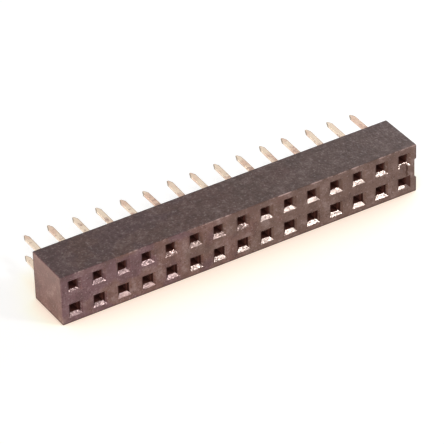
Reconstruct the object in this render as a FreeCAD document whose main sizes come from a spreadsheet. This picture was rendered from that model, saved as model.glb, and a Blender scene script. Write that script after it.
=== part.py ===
# Circuit board header, socket kind: two rows of fifteen positions in one moulded housing, with a stamped
# fork contact in each position. It lies on one long side, as such a strip comes to rest on a bench.
#
# Frame, in millimetres: X runs along the strip and Z runs up through the two rows. The mating face looks
# towards -Y, and the solder tails leave the board face towards +Y. The origin is the centre of the long side
# that the housing lies on, midway between the mating face and the board face.
import FreeCAD, Part
import Sketcher
import os

DRIVING_SIZES = {
    # the grid of positions
    "column_count": 15,
    "column_pitch": 2.00,       # from one column to the next
    "row_pitch": 2.00,          # from one row to the other
    # the housing
    "end_margin": 1.10,         # from the axis of the last column to the end face
    "body_depth": 4.00,         # from the mating face to the board face
    "body_height": 4.10,        # across the two rows
    "edge_radius": 0.07,        # every moulded outside edge
    "end_recess_height": 1.60,  # shallow recess in the right end face
    "end_recess_depth": 0.15,
    # one position of the housing
    "entry_width": 0.65,        # square entry for a 0.50 mm square pin
    "lead_in": 0.25,            # slope of 45 degrees round the entry
    "pin_depth": 2.60,          # from the mating face to the bottom of the square channel
    "front_wall": 0.60,         # from the mating face to the contact slot
    "web_slot_depth": 0.19,     # shallow slot between the two entries of the last column
    # the fit of a contact in its slot
    "face_clearance": 0.03,     # on each broad face of the sheet
    "spring_room": 0.10,        # on each side of the fork
    "tip_clearance": 0.10,      # from the front wall to the prongs
    # the contact, all cut from one sheet
    "sheet_thickness": 0.20,
    "fork_width": 1.04,         # over the base and the roots of the prongs
    "prong_tip_width": 0.92,    # over the tips of the prongs
    "gap_width": 0.52,          # between the prongs, behind the noses
    "gap_depth": 1.80,          # from the prong tips to the bottom of the gap
    "flare_length": 0.14,       # where the prong tips open outwards
    "flare_rise": 0.07,
    "nose_length": 0.50,        # the rounded noses that touch the pin
    "nose_rise": 0.05,
    "base_length": 1.20,        # the barbed part, behind the fork
    "shoulder_recess": 0.10,    # from the board face to the shoulders of the base
    "barb_length": 0.24,
    "barb_land": 0.08,          # the flat that touches the slot
    "barb_pitch": 0.50,
    "tail_width": 0.45,
    "tail_length": 3.30,        # from the board face to the tip
    "point_length": 0.40,
    "point_width": 0.14,
    "point_thickness": 0.10,
}
BARBS_PER_SIDE = 2
ROW_NAMES = ("bottom", "top")


class Size:
    # A number together with the sheet expression that gives it, so that one formula serves both.
    def __init__(self, value, text):
        self.value = value
        self.text = text

    def combine(self, other, sign, value):
        return Size(value, "(%s %s %s)" % (self.text, sign, other.text))

    def __add__(self, other):
        return self.combine(other, "+", self.value + other.value)

    def __sub__(self, other):
        return self.combine(other, "-", self.value - other.value)

    def __mul__(self, other):
        return self.combine(other, "*", self.value * other.value)

    def __truediv__(self, other):
        return self.combine(other, "/", self.value / other.value)

    def __neg__(self):
        return Size(-self.value, "(-1 * %s)" % self.text)


def plain(number):
    return Size(number, str(number))


def half(size):
    return size / plain(2)


def smaller(one, other):
    return Size(min(one.value, other.value), "min(%s; %s)" % (one.text, other.text))


class Sizes:
    # The driving sizes, read from the spreadsheet by name.
    def __init__(self, sheet):
        self.sheet = sheet

    def __getattr__(self, name):
        return Size(float(self.sheet.get(name)), "sizes." + name)


def fill_sheet(doc):
    sheet = doc.addObject("Spreadsheet::Sheet", "sizes")
    for row, (name, number) in enumerate(DRIVING_SIZES.items(), start=1):
        sheet.set("A%d" % row, name)
        sheet.set("B%d" % row, str(number))
        sheet.setAlias("B%d" % row, name)
    doc.recompute()
    return sheet


# Sketches and features -------------------------------------------------------------------------------------

def origin_feature(body, role):
    for feature in body.Origin.OriginFeatures:
        if feature.Role == role:
            return feature
    raise RuntimeError("the body has no " + role)


def new_sketch(body, name, plane, offset=None):
    # offset: (x, y, z) in the sketch's own directions
    sketch = body.newObject("Sketcher::SketchObject", name)
    sketch.AttachmentSupport = (origin_feature(body, plane), [""])
    sketch.MapMode = "FlatFace"
    for letter, size in zip("xyz", offset or ()):
        sketch.setExpression("AttachmentOffset.Base." + letter, size.text)
    return sketch


def add_size(sketch, kind, elements, size):
    number = sketch.addConstraint(Sketcher.Constraint(kind, *elements, size.value))
    name = "%s_%d" % (kind, number)
    sketch.renameConstraint(number, name)
    sketch.setExpression("Constraints." + name, size.text)


def line(start, end):
    return Part.LineSegment(FreeCAD.Vector(*start), FreeCAD.Vector(*end))


def add_outline(sketch, corners):
    # corners: (x, y) sizes in order round a closed outline. A third item, (radius, middle x, middle y), makes
    # the edge that leaves the corner an arc through that middle point.
    count = len(corners)
    spots = [(corner[0].value, corner[1].value, 0) for corner in corners]
    edges = []
    for index, corner in enumerate(corners):
        start = spots[index]
        end = spots[(index + 1) % count]
        if len(corner) == 2:
            edges.append((sketch.addGeometry(line(start, end)), 1, 2))
            continue
        middle = (corner[2][1].value, corner[2][2].value, 0)
        arc = sketch.addGeometry(Part.Arc(*[FreeCAD.Vector(*spot) for spot in (start, middle, end)]))
        starts_here = (sketch.getPoint(arc, 1) - FreeCAD.Vector(*start)).Length < 1e-6
        edges.append((arc, 1, 2) if starts_here else (arc, 2, 1))
        add_size(sketch, "Radius", (arc,), corner[2][0])
    for index, corner in enumerate(corners):
        edge, first = edges[index][:2]
        before = edges[index - 1]
        sketch.addConstraint(Sketcher.Constraint("Coincident", before[0], before[2], edge, first))
        straight = (edge, first) if len(corner) == 2 else (before[0], before[2])
        add_size(sketch, "DistanceX", (-1, 1, *straight), corner[0])
        add_size(sketch, "DistanceY", (-1, 1, *straight), corner[1])


def rectangle(width, height):
    x = half(width)
    y = half(height)
    return [(-x, -y), (x, -y), (x, y), (-x, y)]


def pad(body, name, sketch, length):
    feature = body.newObject("PartDesign::Pad", name)
    feature.Profile = sketch
    feature.SideType = "Symmetric"
    feature.setExpression("Length", length.text)
    return feature


def pocket(body, name, sketch, length=None, reverse=False, taper=0):
    # With no length it cuts right through, both ways.
    body.Document.recompute()
    before = body.Shape.Volume
    feature = body.newObject("PartDesign::Pocket", name)
    feature.Profile = sketch
    feature.Reversed = reverse
    feature.TaperAngle = taper
    if length is None:
        feature.SideType = "Symmetric"
        feature.Type = "ThroughAll"
    else:
        feature.setExpression("Length", length.text)
    body.Document.recompute()
    if not body.Shape.Volume < before - 1e-6:
        raise RuntimeError(name + " cut nothing")
    return feature


# The housing -----------------------------------------------------------------------------------------------

def make_block(body, d, half_length):
    # The section along X and Z: a rectangle with the recess in its right end, padded across the depth.
    top = half(d.body_height)
    recess = half(d.end_recess_height)
    inner = half_length - d.end_recess_depth
    corners = [(-half_length, -top), (half_length, -top), (half_length, -recess), (inner, -recess),
               (inner, recess), (half_length, recess), (half_length, top), (-half_length, top)]
    sketch = new_sketch(body, "block_section", "XZ_Plane", (plain(0), top, plain(0)))
    add_outline(sketch, corners)
    block = pad(body, "block", sketch, d.body_depth)
    body.Document.recompute()
    radius = smaller(d.edge_radius, d.end_recess_depth * plain(0.48))    # the recess's low wall holds two
    edges = body.newObject("PartDesign::Fillet", "moulded_edges")
    edges.Base = (block, ["Edge%d" % number for number in range(1, len(block.Shape.Edges) + 1)])
    edges.setExpression("Radius", radius.text)


def make_housing(doc, d):
    body = doc.addObject("PartDesign::Body", "housing")
    half_span = half((d.column_count - plain(1)) * d.column_pitch)
    make_block(body, d, half_span + d.end_margin)

    # Sketches of the first position lie on the mating face and on the board face, at the bottom row's axis.
    row_height = half(d.body_height) - half(d.row_pitch)
    mating = (-half_span, row_height, half(d.body_depth))
    board = (-half_span, row_height, -half(d.body_depth))

    opening = d.entry_width + d.lead_in + d.lead_in
    sketch = new_sketch(body, "lead_in_opening", "XZ_Plane", mating)
    add_outline(sketch, rectangle(opening, opening))
    lead_in = pocket(body, "lead_in", sketch, d.lead_in, taper=-45)

    sketch = new_sketch(body, "entry_square", "XZ_Plane", mating)
    add_outline(sketch, rectangle(d.entry_width, d.entry_width))
    channel = pocket(body, "pin_channel", sketch, d.pin_depth)

    slot_width = d.fork_width + d.spring_room + d.spring_room
    slot_height = d.sheet_thickness + d.face_clearance + d.face_clearance
    sketch = new_sketch(body, "slot_section", "XZ_Plane", board)
    add_outline(sketch, rectangle(slot_width, slot_height))
    slot = pocket(body, "contact_slot", sketch, d.body_depth - d.front_wall, reverse=True)

    grid = body.newObject("PartDesign::LinearPattern", "grid_of_positions")
    grid.Originals = [lead_in, channel, slot]
    grid.Direction = (origin_feature(body, "X_Axis"), [""])
    grid.Mode = "Extent"
    grid.setExpression("Length", (half_span + half_span).text)
    grid.setExpression("Occurrences", d.column_count.text)
    grid.Direction2 = (origin_feature(body, "Z_Axis"), [""])
    grid.Mode2 = "Extent"
    grid.setExpression("Length2", d.row_pitch.text)
    grid.Occurrences2 = len(ROW_NAMES)
    body.Tip = grid

    sketch = new_sketch(body, "web_slot_outline", "XZ_Plane", (half_span, half(d.body_height), mating[2]))
    add_outline(sketch, rectangle(d.entry_width, d.row_pitch))
    body.Tip = pocket(body, "web_slot", sketch, d.web_slot_depth)
    return body


# One contact -----------------------------------------------------------------------------------------------

def contact_half_outline(d):
    # The right half of the flat blank. x is measured from its centre line and y from the mating face.
    middle = plain(0)
    prong_tips = d.front_wall + d.tip_clearance
    nose_front = prong_tips + d.flare_length
    nose_back = nose_front + d.nose_length
    gap_bottom = prong_tips + d.gap_depth
    root = gap_bottom - half(d.gap_width)
    base_back = d.body_depth - d.shoulder_recess
    base_front = base_back - d.base_length
    tail_end = d.body_depth + d.tail_length
    point_start = tail_end - d.point_length

    gap_side = half(d.gap_width)
    base_side = half(d.fork_width)
    slot_side = base_side + d.spring_room

    root_bulge = gap_side * plain(0.5 ** 0.5)
    root_arc = (gap_side, root_bulge, root + root_bulge)
    half_nose = half(d.nose_length)
    nose_radius = half((half_nose * half_nose + d.nose_rise * d.nose_rise) / d.nose_rise)
    nose_arc = (nose_radius, gap_side - d.nose_rise, nose_front + half_nose)

    corners = [(middle, gap_bottom), (middle, tail_end), (half(d.point_width), tail_end)]
    corners += [(half(d.tail_width), point_start), (half(d.tail_width), base_back), (base_side, base_back)]
    for number in range(BARBS_PER_SIDE):
        barb_back = base_back - d.barb_pitch * plain(number + 0.5)
        corners.append((base_side, barb_back))
        corners.append((slot_side, barb_back))
        corners.append((slot_side, barb_back - d.barb_land))
        corners.append((base_side, barb_back - d.barb_length))
    corners += [(base_side, base_front), (half(d.prong_tip_width), prong_tips)]
    corners += [(gap_side + d.flare_rise, prong_tips), (gap_side, nose_front, nose_arc)]
    corners += [(gap_side, nose_back), (gap_side, root, root_arc)]
    return corners


def point_slivers(d):
    # The two slivers that are pressed off the broad faces of the tail, so that it ends in a point. x is along
    # the tail, from the mating face, and y is through the sheet.
    tail_end = d.body_depth + d.tail_length
    point_start = tail_end - d.point_length
    surface = half(d.sheet_thickness)
    tip = half(d.point_thickness)
    upper = [(point_start, surface), (tail_end, tip), (tail_end, surface)]
    lower = [(point_start, -surface), (tail_end, -surface), (tail_end, -tip)]
    return upper, lower


def make_contact(doc, d, name, column, row):
    body = doc.addObject("PartDesign::Body", name)
    sketch = new_sketch(body, name + "_half_blank", "XY_Plane")
    add_outline(sketch, contact_half_outline(d))
    right_half = pad(body, name + "_right_half", sketch, d.sheet_thickness)
    blank = body.newObject("PartDesign::Mirrored", name + "_blank")
    blank.Originals = [right_half]
    blank.MirrorPlane = (origin_feature(body, "YZ_Plane"), [""])
    body.Tip = blank

    sketch = new_sketch(body, name + "_slivers", "YZ_Plane")
    for sliver in point_slivers(d):
        add_outline(sketch, sliver)
    body.Tip = pocket(body, name + "_point", sketch)

    middle_column = half(d.column_count - plain(1))
    across = (plain(column) - middle_column) * d.column_pitch
    up = half(d.body_height) + (plain(row) - plain(0.5)) * d.row_pitch
    body.setExpression("Placement.Base.x", across.text)
    body.setExpression("Placement.Base.y", (-half(d.body_depth)).text)
    body.setExpression("Placement.Base.z", up.text)
    return body


# The whole header ------------------------------------------------------------------------------------------

def check(doc, bodies):
    for item in doc.Objects:
        if "Invalid" in item.State or "Error" in item.State:
            raise RuntimeError(item.Name + " failed: " + str(item.State))
    for body in bodies:
        shape = body.Shape
        if shape.isNull() or not shape.isValid() or len(shape.Solids) != 1:
            raise RuntimeError(body.Label + " is not one valid solid")


def main():
    doc = FreeCAD.newDocument("board_header")
    d = Sizes(fill_sheet(doc))
    bodies = [make_housing(doc, d)]
    for row, row_name in enumerate(ROW_NAMES):
        for column in range(DRIVING_SIZES["column_count"]):
            name = "contact_%s_%02d" % (row_name, column + 1)
            bodies.append(make_contact(doc, d, name, column, row))
    doc.recompute()
    check(doc, bodies)

    os.makedirs("parts", exist_ok=True)
    for body in bodies:
        body.Shape.exportStep("parts/%s.step" % body.Label)
    print("wrote %d parts" % len(bodies))


main()
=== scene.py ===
import math
import random

import bmesh
import bpy
from mathutils import Matrix, Vector


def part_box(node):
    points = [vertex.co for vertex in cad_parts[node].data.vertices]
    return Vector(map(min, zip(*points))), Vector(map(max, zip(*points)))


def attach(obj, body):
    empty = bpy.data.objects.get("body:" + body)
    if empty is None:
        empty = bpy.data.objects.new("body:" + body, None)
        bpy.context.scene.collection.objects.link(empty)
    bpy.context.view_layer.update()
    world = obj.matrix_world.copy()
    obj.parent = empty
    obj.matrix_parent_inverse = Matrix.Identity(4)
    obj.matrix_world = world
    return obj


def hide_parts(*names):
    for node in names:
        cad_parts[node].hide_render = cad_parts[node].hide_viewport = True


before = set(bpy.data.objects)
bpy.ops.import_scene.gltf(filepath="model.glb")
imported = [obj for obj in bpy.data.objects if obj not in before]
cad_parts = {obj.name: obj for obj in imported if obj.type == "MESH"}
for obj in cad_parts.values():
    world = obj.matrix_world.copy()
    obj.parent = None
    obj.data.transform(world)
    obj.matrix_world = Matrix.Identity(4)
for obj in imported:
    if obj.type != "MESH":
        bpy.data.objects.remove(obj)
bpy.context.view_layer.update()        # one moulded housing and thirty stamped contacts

mm = 0.001
housingLow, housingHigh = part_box("housing")
housingMiddle = (housingLow + housingHigh) / 2
scene = bpy.context.scene


def toLinear(hexColour):
    # an sRGB hex value as the linear colour that a shader takes, by the sRGB curve's own constants
    parts = [int(hexColour[i:i + 2], 16) / 255 for i in (1, 3, 5)]
    return tuple(c / 12.92 if c <= 0.04045 else ((c + 0.055) / 1.055) ** 2.4 for c in parts) + (1.0,)


def addNode(tree, kind, inputs=None, **settings):
    # inputs: {socket name or number: a plain value, a node (its first output) or a socket}
    node = tree.nodes.new(kind)
    for name, value in settings.items():
        setattr(node, name, value)
    for key, value in (inputs or {}).items():
        if isinstance(value, bpy.types.Node):
            value = value.outputs[0]
        if isinstance(value, bpy.types.NodeSocket):
            tree.links.new(value, node.inputs[key])
        else:
            node.inputs[key].default_value = value
    return node


def newTree(material):
    material.use_nodes = True
    material.node_tree.nodes.clear()
    return material.node_tree


def millimetres(tree):
    # the piece's own coordinates, with 1 for each millimetre
    place = addNode(tree, "ShaderNodeTexCoord")
    return addNode(tree, "ShaderNodeVectorMath", {0: place.outputs["Object"], "Scale": 1 / mm},
                   operation="SCALE")


def tinted(tree, colour, pattern, low, high, amount, tint):
    # the colour, turned to the tint by up to amount as the pattern goes from low to high
    share = addNode(tree, "ShaderNodeMapRange",
                    {"Value": pattern, "From Min": low, "From Max": high, "To Min": 0.0, "To Max": amount},
                    interpolation_type="SMOOTHSTEP")
    mixed = addNode(tree, "ShaderNodeMix", {0: share, 6: colour, 7: toLinear(tint)}, data_type="RGBA")
    return mixed.outputs[2]


# Housing: glass-filled polyester, injection moulded in a spark-eroded tool. The eye sees a dark warm brown
# skin, plum in one place and olive in the next where the melt flowed, with fine pale flecks of glass just
# under it. Each "...Over" is the range of a pattern over which its tint comes in.
resin = {
    "plum": "#6A5056",
    "umber": "#6C514C",
    "olive": "#68534D",
    "shadow": "#3A2623",
    "pale": "#A39394",
    "paleEdge": "#C9B0AF",
    "flowSize": 2.2,        # mm, the clouds of the melt
    "umberOver": (0.27, 0.40),
    "oliveOver": (0.38, 0.60),
    "aside": (37.0, 11.0, 8.0),     # mm, from one cloud pattern to the next
    "travel": 0.02,         # each mm from the gate, at the left, turns the plum more to olive
    "mottleSize": 1.1,      # mm, and the finer marbling in them
    "mottleShare": 0.5,
    "darkMottleOver": (0.56, 0.30),
    "paleMottleOver": (0.50, 0.76),
    "fleckSize": 0.15,      # mm, drawn coarser than real glass so that it shows
    "fleckShare": 0.45,
    "fleckOver": (0.58, 0.76),
    "dustSize": 0.3,        # mm
    "dustOver": (0.52, 0.73),
    "darkSpeckOver": (0.52, 0.31),
    "pitSize": 0.12,        # mm, dark pits between the fibres
    "pitShare": 0.6,
    "pitOver": (0.42, 0.26),
    "pitRim": (0.03, -0.02),    # a matt pit's soft rim, from outside to inside
    "shadedEdgeLines": (15.03, 1.93, 0.07),    # mm, where the rounded edges begin
    "shadedEdgeWidth": 0.09,   # mm
    "shadedEdgeShare": 0.5,
    "paleEdgeOver": (0.49, 0.60),
    "paleEdgeTravel": 0.004,  # each mm to the right is a little paler
    "paintedShadeEdge": 0.05,       # mm, over which a painted shade comes in
    "mattRoughness": 0.7,   # where a polished face lost its polish
    "roughnessOver": (0.3, 0.7),
    "roughnessStray": 0.05,
    "ior": 1.5,
}


def mouldedPlastic(name, skin):
    material = bpy.data.materials.new(name)
    tree = newTree(material)
    place = millimetres(tree)
    flow = addNode(tree, "ShaderNodeTexNoise",
                   {"Vector": place, "Scale": 1 / resin["flowSize"], "Detail": 2.0})
    aside = addNode(tree, "ShaderNodeVectorMath", {0: place, 1: resin["aside"]})
    drift = addNode(tree, "ShaderNodeTexNoise",
                    {"Vector": aside, "Scale": 1 / resin["flowSize"], "Detail": 2.0})
    mottle = addNode(tree, "ShaderNodeTexNoise",
                     {"Vector": place, "Scale": 1 / resin["mottleSize"], "Detail": 6.0, "Roughness": 0.72})
    fleck = addNode(tree, "ShaderNodeTexNoise",
                    {"Vector": aside, "Scale": 1 / resin["fleckSize"], "Detail": 1.0})
    pit = addNode(tree, "ShaderNodeTexNoise",
                  {"Vector": place, "Scale": 1 / resin["pitSize"], "Detail": 1.0})
    axes = addNode(tree, "ShaderNodeSeparateXYZ", {0: place})
    travel = addNode(tree, "ShaderNodeMath",
                     {0: axes.outputs["X"], 1: resin["travel"], 2: flow.outputs["Fac"]},
                     operation="MULTIPLY_ADD")
    stray = addNode(tree, "ShaderNodeMath",
                    {0: axes.outputs["X"], 1: resin["travel"], 2: drift.outputs["Fac"]},
                    operation="MULTIPLY_ADD")
    colour = toLinear(skin.get("start", resin["plum"]))
    colour = tinted(tree, colour, travel, *resin["umberOver"], 1.0, resin["umber"])
    colour = tinted(tree, colour, stray, *resin["oliveOver"], 1.0, resin["olive"])
    marbling = skin.get("marbling", resin["mottleShare"])
    marbled = mottle.outputs["Fac"]
    colour = tinted(tree, colour, marbled, *resin["darkMottleOver"], marbling, resin["shadow"])
    colour = tinted(tree, colour, marbled, *resin["paleMottleOver"], marbling, resin["pale"])
    colour = tinted(tree, colour, pit.outputs["Fac"], *resin["pitOver"], resin["pitShare"], resin["shadow"])
    colour = tinted(tree, colour, fleck.outputs["Fac"], *resin["fleckOver"], resin["fleckShare"],
                    resin["pale"])
    # painted shade: the resin is darkened along the right, rear and lower edges, as dark outlines and as a
    # contact shade where the header meets the paper
    fromEdges = addNode(tree, "ShaderNodeVectorMath", {0: place, 1: resin["shadedEdgeLines"]},
                        operation="SUBTRACT")
    fromEdges = addNode(tree, "ShaderNodeVectorMath", {0: fromEdges}, operation="ABSOLUTE")
    fromEach = addNode(tree, "ShaderNodeSeparateXYZ", {0: fromEdges})
    nearest = addNode(tree, "ShaderNodeMath", {0: fromEach.outputs["X"], 1: fromEach.outputs["Y"]},
                      operation="MINIMUM")
    nearest = addNode(tree, "ShaderNodeMath", {0: nearest, 1: fromEach.outputs["Z"]}, operation="MINIMUM")
    edgeShade = skin.get("edgeShade", resin["shadedEdgeShare"])
    colour = tinted(tree, colour, nearest, resin["shadedEdgeWidth"], resin["shadedEdgeWidth"] / 2, edgeShade,
                    resin["shadow"])
    if "paleEdge" in skin:
        # the front upper edge is paler in patches, more towards the right
        paleEdgePattern = addNode(tree, "ShaderNodeMath",
                      {0: axes.outputs["X"], 1: resin["paleEdgeTravel"], 2: mottle.outputs["Fac"]},
                      operation="MULTIPLY_ADD")
        colour = tinted(tree, colour, paleEdgePattern, *resin["paleEdgeOver"], skin["paleEdge"], resin["paleEdge"])
    # painted light: the gate end grows paler towards the top
    if "paintedLightUpwards" in skin:
        colour = tinted(tree, colour, axes.outputs["Z"], 0.0, housingHigh.z / mm, skin["paintedLightUpwards"],
                        resin["pale"])
    if "dust" in skin:
        # specks of dust, with dark ones between them
        dust = addNode(tree, "ShaderNodeTexNoise",
                       {"Vector": aside, "Scale": 1 / resin["dustSize"], "Detail": 3.0, "Roughness": 0.7})
        specks = dust.outputs["Fac"]
        colour = tinted(tree, colour, specks, *resin["dustOver"], skin["dust"], resin["pale"])
        colour = tinted(tree, colour, specks, *resin["darkSpeckOver"], skin["dust"], resin["shadow"])
    # painted shade: a dark tint from so many mm behind the mating face darkens the flanks and channels inside
    # the entries and the rounded lower and rear edges, and a grey tint tones the upper face for its light
    if "paintedShade" in skin:
        start = housingLow.y / mm + skin["paintedShadeFrom"]
        colour = tinted(tree, colour, axes.outputs["Y"], start, start + resin["paintedShadeEdge"], skin["paintedShadeShare"],
                        skin["paintedShade"])
    smoothest, roughest = resin["roughnessOver"]
    roughness = addNode(tree, "ShaderNodeMapRange",
                        {"Value": mottle.outputs["Fac"], "From Min": smoothest, "From Max": roughest,
                         "To Min": skin["roughness"] - resin["roughnessStray"],
                         "To Max": skin["roughness"] + resin["roughnessStray"]})
    if "pitted" in skin:
        # small matt pits break up the polish
        outside, inside = resin["pitRim"]
        pits = addNode(tree, "ShaderNodeMapRange",
                       {"Value": pit.outputs["Fac"], "From Min": skin["pitted"] + outside,
                        "From Max": skin["pitted"] + inside, "To Min": 0.0, "To Max": resin["mattRoughness"]})
        roughness = addNode(tree, "ShaderNodeMath", {0: roughness, 1: pits}, operation="MAXIMUM")
    for axis, polishedTo, mattFrom in skin.get("worn", ()):
        matt = addNode(tree, "ShaderNodeMapRange",
                       {"Value": axes.outputs[axis], "From Min": polishedTo, "From Max": mattFrom,
                        "To Min": 0.0, "To Max": resin["mattRoughness"]})
        roughness = addNode(tree, "ShaderNodeMath", {0: roughness, 1: matt}, operation="MAXIMUM")
    grain = addNode(tree, "ShaderNodeTexNoise",
                    {"Vector": place, "Scale": 1 / skin["grainSize"], "Detail": 2.0})
    bump = addNode(tree, "ShaderNodeBump", {"Height": grain, "Distance": skin["grainHeight"] * mm})
    shader = addNode(tree, "ShaderNodeBsdfPrincipled",
                     {"Base Color": colour, "IOR": resin["ior"], "Specular IOR Level": skin["specular"],
                      "Specular Tint": toLinear(skin.get("sheen", "#FFFFFF")), "Roughness": roughness,
                      "Normal": bump})
    addNode(tree, "ShaderNodeOutputMaterial", {"Surface": shader})
    return material


# Contact material: brass strip, stamped, then gold flashed over nickel. The eye sees a pale warm metal with
# faint rolling lines along the strip, brown stains near the board face and a duller, darker point where the
# plating was sheared off.
goldFlash = {
    "face": "#EFDCC8",
    "blush": "#D9B4A2",
    "stain": "#A3837A",
    "sheared": "#94897A",
    "edge": "#9A8370",
    "lineWidth": 0.02,      # mm
    "lineStretch": (0.6, 20.0),     # to each mm, along the strip and through it
    "lineHeight": 0.001,    # mm
    "blushSize": 1.3,       # mm, where the gold is thin
    "blushOver": (0.42, 0.62),
    "blushShare": 0.65,
    "stainSize": 0.34,      # mm
    "stainOver": (0.16, 0.40),
    "stainFade": -0.09,     # to each mm away from the board face
    "stainShare": 0.75,
    "edgeOver": (0.13, 0.2),    # mm from the middle of the strip
    "edgeShare": 0.7,
    "pointTaper": 0.39,     # mm in from each side for each mm of the point
    "edgeWidth": 0.06,      # mm of bare metal along the point
    "edgeBlur": 0.03,       # mm
    "shearedShare": 0.9,
    "roughness": 0.3,
    "roughnessOver": (0.3, 0.7),
    "roughnessStray": 0.06,
}


def goldFlashedBrass():
    material = bpy.data.materials.new("goldFlashedBrass")
    tree = newTree(material)
    place = millimetres(tree)
    axes = addNode(tree, "ShaderNodeSeparateXYZ", {0: place})
    lines = addNode(tree, "ShaderNodeMapping",
                    {"Vector": place, "Scale": (1 / goldFlash["lineWidth"], *goldFlash["lineStretch"])})
    rolled = addNode(tree, "ShaderNodeTexNoise", {"Vector": lines, "Scale": 1.0, "Detail": 1.0})
    thin = addNode(tree, "ShaderNodeTexNoise",
                   {"Vector": place, "Scale": 1 / goldFlash["blushSize"], "Detail": 1.0})
    cloud = addNode(tree, "ShaderNodeTexNoise",
                    {"Vector": place, "Scale": 1 / goldFlash["stainSize"], "Detail": 2.0})
    colour = tinted(tree, toLinear(goldFlash["face"]), thin.outputs["Fac"], *goldFlash["blushOver"],
                    goldFlash["blushShare"], goldFlash["blush"])
    # stains lie mostly near the board face, where the flux crept
    crept = addNode(tree, "ShaderNodeMath",
                    {0: axes.outputs["Y"], 1: goldFlash["stainFade"], 2: cloud.outputs["Fac"]},
                    operation="MULTIPLY_ADD")
    colour = tinted(tree, colour, crept, *goldFlash["stainOver"], goldFlash["stainShare"],
                    goldFlash["stain"])
    # each strip is darker along its right-hand edge, and both edges of its point were sheared bare by the die
    across = addNode(tree, "ShaderNodeAttribute", attribute_name="acrossStrip").outputs["Fac"]
    colour = tinted(tree, colour, across, *goldFlash["edgeOver"], goldFlash["edgeShare"], goldFlash["edge"])
    aside = addNode(tree, "ShaderNodeMath", {0: across}, operation="ABSOLUTE")
    inset = addNode(tree, "ShaderNodeMath", {0: axes.outputs["Y"], 1: goldFlash["pointTaper"], 2: aside},
                    operation="MULTIPLY_ADD")
    tip = housingHigh.y / mm + contactLook["tailLength"]
    outline = contactLook["pointHalfWidth"] + goldFlash["pointTaper"] * tip
    bare = outline - goldFlash["edgeWidth"]
    colour = tinted(tree, colour, inset, bare - goldFlash["edgeBlur"], bare + goldFlash["edgeBlur"],
                    goldFlash["shearedShare"], goldFlash["sheared"])
    smoothest, roughest = goldFlash["roughnessOver"]
    roughness = addNode(tree, "ShaderNodeMapRange",
                        {"Value": cloud.outputs["Fac"], "From Min": smoothest, "From Max": roughest,
                         "To Min": goldFlash["roughness"] - goldFlash["roughnessStray"],
                         "To Max": goldFlash["roughness"] + goldFlash["roughnessStray"]})
    bump = addNode(tree, "ShaderNodeBump", {"Height": rolled, "Distance": goldFlash["lineHeight"] * mm})
    shader = addNode(tree, "ShaderNodeBsdfPrincipled",
                     {"Base Color": colour, "Metallic": 1.0, "Roughness": roughness, "Normal": bump})
    addNode(tree, "ShaderNodeOutputMaterial", {"Surface": shader})
    return material


softening = {
    "mergeDistance": 1e-6,  # m, joins the loose triangles
    "flatWithin": 1.0,      # degrees, joins the triangles of one flat face
    "segments": 2,
}


def softEdged(source, name, width, angle):
    # a copy of a CAD node with its sharp edges rounded, as moulding or stamping leaves them
    mesh = bpy.data.meshes.new(name)
    work = bmesh.new()
    work.from_mesh(source.data)
    bmesh.ops.remove_doubles(work, verts=work.verts, dist=softening["mergeDistance"])
    bmesh.ops.dissolve_limit(work, angle_limit=math.radians(softening["flatWithin"]),
                             verts=work.verts, edges=work.edges)
    work.to_mesh(mesh)
    work.free()
    mesh.shade_smooth()
    piece = bpy.data.objects.new(name, mesh)
    scene.collection.objects.link(piece)
    bevel = piece.modifiers.new("softEdges", "BEVEL")
    bevel.width = width * mm
    bevel.segments = softening["segments"]
    bevel.limit_method = "ANGLE"
    bevel.angle_limit = math.radians(angle)
    return piece


def applyModifiers(piece):
    graph = bpy.context.evaluated_depsgraph_get()
    graph.update()
    mesh = bpy.data.meshes.new_from_object(piece.evaluated_get(graph))
    piece.modifiers.clear()
    piece.data = mesh
    # the large faces stay flat and only the rounded edges turn the light
    sums = [Vector() for vertex in mesh.vertices]
    for face in mesh.polygons:
        for index in face.vertices:
            sums[index] += face.normal * face.area ** 2
    mesh.normals_split_custom_set_from_vertices([total.normalized() for total in sums])


# sizes in mm, in the piece's own coordinates
housingLook = {
    "edgeRound": 0.012,     # at the rims of the entries and slots
    "edgeAngle": 25,        # degrees, and only sharper corners than this
    "flatNormal": 0.98,     # a face that looks more than this along an axis is flat
    "paleEdgeBefore": -1.92,
    "paleEdgeAbove": 4.02,
    "shadedEdgeBehind": 1.92,
    "shadedEdgeBelow": 0.08,
    "topAbove": 4.05,
    "gateEndBefore": -15.0,
    "pitch": 2.0,
    "entryReach": 0.7,      # to each side of a column
    "entriesWithin": 14.7,
    "rowsAbove": 0.3,
    "rowsBelow": 3.8,
    "throat": 0.25,         # behind the mating face, where a lead-in ends
    "channelEnd": 3.9,
    "rim": 0.01,
    "slope": (0.3, 0.95),   # how far a lead-in looks forwards
    "tilt": 0.5,            # and how far up or down, or else it is a flank
    "lastColumnFrom": 13.0,
    # from left to right: up to where, and which
    "upperLeadIns": ((-13, "throatLeadIn"), (-7, "plumLeadIn"), (1, "dullLeadIn"), (15, "upperLeadIn")),
    "lowerLeadIns": ((-5, "plumLeadIn"), (13, "lowerLeadIn"), (15, "halfLeadIn")),
}

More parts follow.
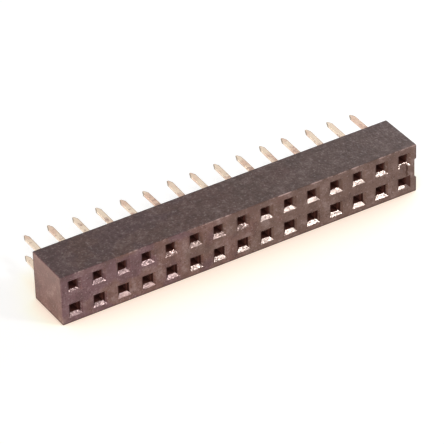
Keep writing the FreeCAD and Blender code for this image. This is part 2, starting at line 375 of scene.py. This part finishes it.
# sizes in mm; the sheen tints the reflections of a polished face
finishes = {
    "mouldedPolyester": {"roughness": 0.60, "specular": 0.33, "grainSize": 0.16, "grainHeight": 0.014},
    # the upper face is painted greyer, a painted tone for the bluish light that falls on it, and carries real
    # dust specks; a painted shade starts so many mm behind the mating face
    "greyedTop": {"roughness": 0.58, "specular": 0.33, "grainSize": 0.15, "grainHeight": 0.040,
                  "start": "#685052", "marbling": 0.6, "dust": 0.58,
                  "paintedShade": "#585455", "paintedShadeFrom": -0.1, "paintedShadeShare": 0.18},
    # the gate end is painted paler towards the top, a painted light for the darker paper at its foot, and
    # painted darker along its lower edge, a painted contact shade
    "gateEnd": {"roughness": 0.60, "specular": 0.33, "grainSize": 0.16, "grainHeight": 0.014,
                "start": "#6C5050", "paintedLightUpwards": 0.2, "edgeShade": 0.95},
    # the front upper edge is paler in patches, and the rounded lower and rear edges are painted dark, a
    # painted shade
    "paleFrontEdge": {"roughness": 0.55, "specular": 0.2, "grainSize": 0.16, "grainHeight": 0.014,
                   "paleEdge": 0.6},
    "shadedRoundEdge": {"roughness": 0.6, "specular": 0.1, "grainSize": 0.16, "grainHeight": 0.004,
                    "paintedShade": "#1C100D", "paintedShadeFrom": -0.1, "paintedShadeShare": 0.9},
    # the lead-ins shine, with small matt pits; a higher "pitted" leaves less polish
    "upperLeadIn": {"roughness": 0.14, "specular": 0.95, "grainSize": 0.13, "grainHeight": 0.019,
                    "sheen": "#FFF0EA", "pitted": 0.39},
    "lowerLeadIn": {"roughness": 0.15, "specular": 1.0, "grainSize": 0.13, "grainHeight": 0.016,
                    "sheen": "#FFF1EB", "pitted": 0.38},
    # near the gate, at the left, the skin is plum
    "plumLeadIn": {"roughness": 0.16, "specular": 1.0, "grainSize": 0.13, "grainHeight": 0.019,
                   "sheen": "#FFE6E6", "pitted": 0.4},
    # some core pins wore: four left their lead-ins dull, one polished only the throat, one only the left half
    "dullLeadIn": {"roughness": 0.14, "specular": 1.0, "grainSize": 0.14, "grainHeight": 0.030,
                   "sheen": "#FFEAE6", "pitted": 0.47},
    "throatLeadIn": {"roughness": 0.18, "specular": 1.0, "grainSize": 0.10, "grainHeight": 0.012,
                     "sheen": "#FFE6E3", "worn": [("Y", -1.86, -1.89)]},
    "halfLeadIn": {"roughness": 0.20, "specular": 1.0, "grainSize": 0.13, "grainHeight": 0.012,
                   "sheen": "#FFF1EB", "worn": [("X", 14.08, 14.2), ("Y", -1.88, -1.93)]},
    # inside the entries, the flanks and channels are painted dark, a painted shade in the recesses
    "shadedFlank": {"roughness": 0.6, "specular": 0.05, "grainSize": 0.16, "grainHeight": 0.004,
                    "paintedShade": "#240B08", "paintedShadeFrom": 0.11, "paintedShadeShare": 0.97},
    "shadedUpperFlank": {"roughness": 0.6, "specular": 0.15, "grainSize": 0.16, "grainHeight": 0.004,
                         "paintedShade": "#240B08", "paintedShadeFrom": 0.16, "paintedShadeShare": 0.6},
    "shadedLastFlank": {"roughness": 0.6, "specular": 0.05, "grainSize": 0.16, "grainHeight": 0.004,
                        "paintedShade": "#402825", "paintedShadeFrom": -0.1, "paintedShadeShare": 0.9},
    "shadedChannel": {"roughness": 0.6, "specular": 0.2, "grainSize": 0.16, "grainHeight": 0.004,
                      "paintedShade": "#563029", "paintedShadeFrom": 0.22, "paintedShadeShare": 0.9},
}


def finishOf(face):
    # which finish a face of the housing has, from where it is and which way it looks
    look = housingLook
    x, y, z = face.center / mm
    depth = y - housingLow.y / mm
    across = x % look["pitch"]
    isUpper = z > housingMiddle.z / mm
    rounded = max(abs(part) for part in face.normal) < look["flatNormal"]
    if rounded and z > look["paleEdgeAbove"] and y < look["paleEdgeBefore"]:
        return "paleFrontEdge"
    if rounded and (z < look["shadedEdgeBelow"] or y > look["shadedEdgeBehind"]):
        return "shadedRoundEdge"
    if face.normal.z > look["flatNormal"] and z > look["topAbove"]:
        return "greyedTop"
    if face.normal.x < -look["flatNormal"] and x < look["gateEndBefore"]:
        return "gateEnd"
    if min(across, look["pitch"] - across) > look["entryReach"] or abs(x) > look["entriesWithin"]:
        return "mouldedPolyester"
    if not look["rowsAbove"] < z < look["rowsBelow"]:
        return "mouldedPolyester"
    # painted shade in the entries: the channels and flanks get the dark tints of their finishes
    if look["throat"] < depth < look["channelEnd"]:
        return "shadedChannel"
    level, steep = look["slope"]
    if not look["rim"] < depth < look["throat"] or not level < -face.normal.y < steep:
        return "mouldedPolyester"
    if abs(face.normal.z) > look["tilt"]:
        leadIns = look["upperLeadIns"] if isUpper else look["lowerLeadIns"]
        return next(name for end, name in leadIns if x < end)
    if isUpper:
        return "shadedUpperFlank"
    return "shadedLastFlank" if x > look["lastColumnFrom"] else "shadedFlank"


def makeHousing():
    piece = softEdged(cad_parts["housing"], "mouldedHousing", housingLook["edgeRound"],
                      housingLook["edgeAngle"])
    applyModifiers(piece)
    order = list(finishes)
    piece.data.materials.clear()
    for name in order:
        piece.data.materials.append(mouldedPlastic(name, finishes[name]))
    for face in piece.data.polygons:
        face.material_index = order.index(finishOf(face))
    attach(piece, "root")
    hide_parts("housing")
    print("housing made:", len(piece.data.polygons), "faces")


contactLook = {
    "edgeRound": 0.03,      # mm, the roll-over of the stamping
    "edgeAngle": 40,        # degrees
    "tailLength": 3.3,      # mm
    "pointHalfWidth": 0.07,     # mm, at the very tip
    "bendPower": 1.25,      # 1 would be straight, and more bends the tip the most
    "lift": 0.115,          # mm, how far up a usual tip stands
    "liftStray": 0.12,      # mm, more or less from one to the next
    "sway": 0.03,           # mm, sideways
    "alternate": 0.045,     # mm, every other contact comes off the other side of the strip
    "firstLowerLift": 0.22,     # mm, the tail that was caught once
    "seed": 4301,
}


def makeTailBend():
    # handling bends a tail from the board face on, more towards its tip
    tree = bpy.data.node_groups.new("tailBend", "GeometryNodeTree")
    tree.interface.new_socket("Geometry", in_out="INPUT", socket_type="NodeSocketGeometry")
    for name in ("Board Face", "Tail Length", "Column", "Sway", "Lift"):
        tree.interface.new_socket(name, in_out="INPUT", socket_type="NodeSocketFloat")
    tree.interface.new_socket("Metal", in_out="INPUT", socket_type="NodeSocketMaterial")
    tree.interface.new_socket("Geometry", in_out="OUTPUT", socket_type="NodeSocketGeometry")
    given = addNode(tree, "NodeGroupInput")
    place = addNode(tree, "GeometryNodeInputPosition")
    axes = addNode(tree, "ShaderNodeSeparateXYZ", {0: place})
    aside = addNode(tree, "ShaderNodeMath", {0: axes.outputs["X"], 1: given.outputs["Column"]},
                    operation="SUBTRACT")
    across = addNode(tree, "ShaderNodeMath", {0: aside, 1: 1 / mm}, operation="MULTIPLY")
    marked = addNode(tree, "GeometryNodeStoreNamedAttribute",
                     {"Geometry": given.outputs["Geometry"], "Name": "acrossStrip", "Value": across})
    end = addNode(tree, "ShaderNodeMath", {0: given.outputs["Board Face"], 1: given.outputs["Tail Length"]})
    along = addNode(tree, "ShaderNodeMapRange",
                    {"Value": axes.outputs["Y"], "From Min": given.outputs["Board Face"], "From Max": end})
    curve = addNode(tree, "ShaderNodeMath", {0: along, 1: contactLook["bendPower"]}, operation="POWER")
    side = addNode(tree, "ShaderNodeMath", {0: curve, 1: given.outputs["Sway"]}, operation="MULTIPLY")
    rise = addNode(tree, "ShaderNodeMath", {0: curve, 1: given.outputs["Lift"]}, operation="MULTIPLY")
    offset = addNode(tree, "ShaderNodeCombineXYZ", {"X": side, "Z": rise})
    bent = addNode(tree, "GeometryNodeSetPosition", {"Geometry": marked, "Offset": offset})
    real = addNode(tree, "GeometryNodeRealizeInstances", {0: bent})
    plated = addNode(tree, "GeometryNodeSetMaterial", {"Geometry": real, "Material": given.outputs["Metal"]})
    addNode(tree, "NodeGroupOutput", {0: plated})
    return tree


def makeContacts():
    metal = goldFlashedBrass()
    bend = makeTailBend()
    sockets = {item.name: item.identifier for item in bend.interface.items_tree if item.in_out == "INPUT"}
    chance = random.Random(contactLook["seed"])
    nodes = sorted(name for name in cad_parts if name.startswith("contact_"))
    for node in nodes:
        number = int(node[-2:])
        lift = contactLook["lift"] + chance.uniform(-1, 1) * contactLook["liftStray"]
        sway = chance.uniform(-1, 1) * contactLook["sway"]
        sway += contactLook["alternate"] if number % 2 else -contactLook["alternate"]
        if node == "contact_bottom_01":
            lift = contactLook["firstLowerLift"]
        piece = softEdged(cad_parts[node], node.replace("contact", "stampedContact"),
                          contactLook["edgeRound"], contactLook["edgeAngle"])
        handled = piece.modifiers.new("handled", "NODES")
        handled.node_group = bend
        handled[sockets["Board Face"]] = housingHigh.y
        handled[sockets["Tail Length"]] = contactLook["tailLength"] * mm
        handled[sockets["Column"]] = (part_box(node)[0].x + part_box(node)[1].x) / 2
        handled[sockets["Sway"]] = sway * mm
        handled[sockets["Lift"]] = lift * mm
        handled[sockets["Metal"]] = metal
        applyModifiers(piece)
        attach(piece, "root")
        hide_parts(node)
    print("contacts made:", len(nodes))


# the header lies on white paper in a pale room
stageLook = {
    "floorSize": 3.0,       # m
    "paperBounce": "#EFE8E0",   # the light that the paper gives back to the header
    # the paper's warm glow is clipped at white on open paper, so its tone shows only near the header, where
    # ambient occlusion paints it darker, a painted shade
    "paperSeen": (1.86, 1.47, 1.22),
    "shadeReach": 0.05,     # m
    "glowShare": 0.82,      # of what is seen of the paper, and the lamps give the rest, with their shadows
    "paperLit": "#AFAFAF",
    "background": "#FFFEFB",
    "worldLight": 0.05,
    "horizon": (0.05, 0.45),    # where the room begins to darken, and where it has
    "roomAbove": 0.9,
}


def seenDirectly(tree):
    # 1 for what the camera, a reflection or a see-through surface meets, and 0 for light on a surface
    path = addNode(tree, "ShaderNodeLightPath")
    first = addNode(tree, "ShaderNodeMath",
                    {0: path.outputs["Is Camera Ray"], 1: path.outputs["Is Glossy Ray"]}, operation="MAXIMUM")
    return addNode(tree, "ShaderNodeMath", {0: first, 1: path.outputs["Is Transmission Ray"]},
                   operation="MAXIMUM")


def makeStage():
    floor = bpy.data.objects.new("paperFloor", bpy.data.meshes.new("paperFloor"))
    half = stageLook["floorSize"] / 2
    corners = [(-half, -half, 0), (half, -half, 0), (half, half, 0), (-half, half, 0)]
    floor.data.from_pydata(corners, [], [(0, 1, 2, 3)])
    scene.collection.objects.link(floor)
    paper = bpy.data.materials.new("whitePaper")
    tree = newTree(paper)
    seen = seenDirectly(tree)
    colour = tinted(tree, toLinear(stageLook["paperBounce"]), seen, 0.0, 1.0, 1.0, stageLook["paperLit"])
    lit = addNode(tree, "ShaderNodeBsdfDiffuse", {"Color": colour})
    # painted shade: the glow is darkened near the header by ambient occlusion, a painted contact shadow
    paintedFloorShade = addNode(tree, "ShaderNodeAmbientOcclusion", {"Distance": stageLook["shadeReach"]})
    shadedGlow = addNode(tree, "ShaderNodeVectorMath", {0: paintedFloorShade.outputs["AO"], 1: stageLook["paperSeen"]},
                   operation="MULTIPLY")
    clipped = addNode(tree, "ShaderNodeVectorMath", {0: shadedGlow, 1: (1.0, 1.0, 1.0)}, operation="MINIMUM")
    strength = addNode(tree, "ShaderNodeMath", {0: seen, 1: stageLook["glowShare"]}, operation="MULTIPLY")
    glow = addNode(tree, "ShaderNodeEmission", {"Color": clipped, "Strength": strength})
    both = addNode(tree, "ShaderNodeAddShader", {0: lit, 1: glow})
    addNode(tree, "ShaderNodeOutputMaterial", {"Surface": both})
    floor.data.materials.append(paper)

    world = bpy.data.worlds.new("softRoom")
    scene.world = world
    world.use_nodes = True
    tree = world.node_tree
    tree.nodes.clear()
    height = addNode(tree, "ShaderNodeSeparateXYZ", {0: addNode(tree, "ShaderNodeTexCoord")})
    low, high = stageLook["horizon"]
    room = addNode(tree, "ShaderNodeMapRange",
                   {"Value": height.outputs["Z"], "From Min": low, "From Max": high,
                    "To Min": 1.0, "To Max": stageLook["roomAbove"]})
    strength = addNode(tree, "ShaderNodeMapRange",
                       {"Value": seenDirectly(tree), "To Min": stageLook["worldLight"], "To Max": room})
    sky = addNode(tree, "ShaderNodeBackground",
                  {"Color": toLinear(stageLook["background"]), "Strength": strength})
    addNode(tree, "ShaderNodeOutputWorld", {"Surface": sky})
    print("stage made")


cameraLook = {
    "azimuth": -30.746,     # degrees, 0 looks along +Y
    "elevation": 34.908,
    "roll": -1.877,
    "distance": 0.24963,    # m
    "aim": (-0.00047, 0.00020, 0.00195),
    "lens": 279.15,         # mm
    "sensor": 36.0,         # mm
    "clip": (0.01, 20.0),   # m
}


def makeCamera():
    lens = bpy.data.cameras.new("bench")
    lens.lens = cameraLook["lens"]
    lens.sensor_width = cameraLook["sensor"]
    lens.clip_start, lens.clip_end = cameraLook["clip"]
    azimuth = math.radians(cameraLook["azimuth"])
    elevation = math.radians(cameraLook["elevation"])
    towards = Vector((-math.sin(azimuth) * math.cos(elevation), math.cos(azimuth) * math.cos(elevation),
                      -math.sin(elevation)))
    camera = bpy.data.objects.new("bench", lens)
    scene.collection.objects.link(camera)
    turn = towards.to_track_quat("-Z", "Y").to_matrix().to_4x4()
    camera.matrix_world = (Matrix.Translation(Vector(cameraLook["aim"]) - towards * cameraLook["distance"])
                           @ turn @ Matrix.Rotation(math.radians(cameraLook["roll"]), 4, "Z"))
    scene.camera = camera
    print("camera set")


lamps = {
    # name: (degrees round from the front, degrees up, distance m, width m, height m,
    #        light as a share of a full white, colour)
    "keyPanel": (42.5, 42.2, 0.35, 0.0476, 0.0476, 0.35, "#F8F2EE"),
    "frontPanel": (-20, 3, 0.35, 0.45, 0.16, 1.25, "#FFF8F2"),
    "leftPanel": (-92, 2, 0.35, 0.45, 0.16, 1.80, "#FFF0D6"),
    "rearLeftPanel": (-130, 8, 0.35, 0.16, 0.16, 0.06, "#E8F0FF"),
    "rearRightPanel": (110, 14, 0.06, 0.04, 0.04, 0.50, "#F6F6FF"),
}


def makeLamps():
    for name, (turned, up, distance, width, height, share, colour) in lamps.items():
        light = bpy.data.lights.new(name, "AREA")
        light.shape = "RECTANGLE"
        light.size = width
        light.size_y = height
        light.color = toLinear(colour)[:3]
        light.energy = share * math.pi ** 2 * distance ** 2
        lamp = bpy.data.objects.new(name, light)
        scene.collection.objects.link(lamp)
        level = math.cos(math.radians(up))
        away = Vector((math.sin(math.radians(turned)) * level, -math.cos(math.radians(turned)) * level,
                       math.sin(math.radians(up))))
        lamp.matrix_world = (Matrix.Translation(housingMiddle + away * distance)
                             @ away.to_track_quat("Z", "Y").to_matrix().to_4x4())
    print("lamps set:", len(lamps))


makeCamera()
makeStage()
makeLamps()
makeHousing()
makeContacts()

scene.view_settings.view_transform = "Standard"
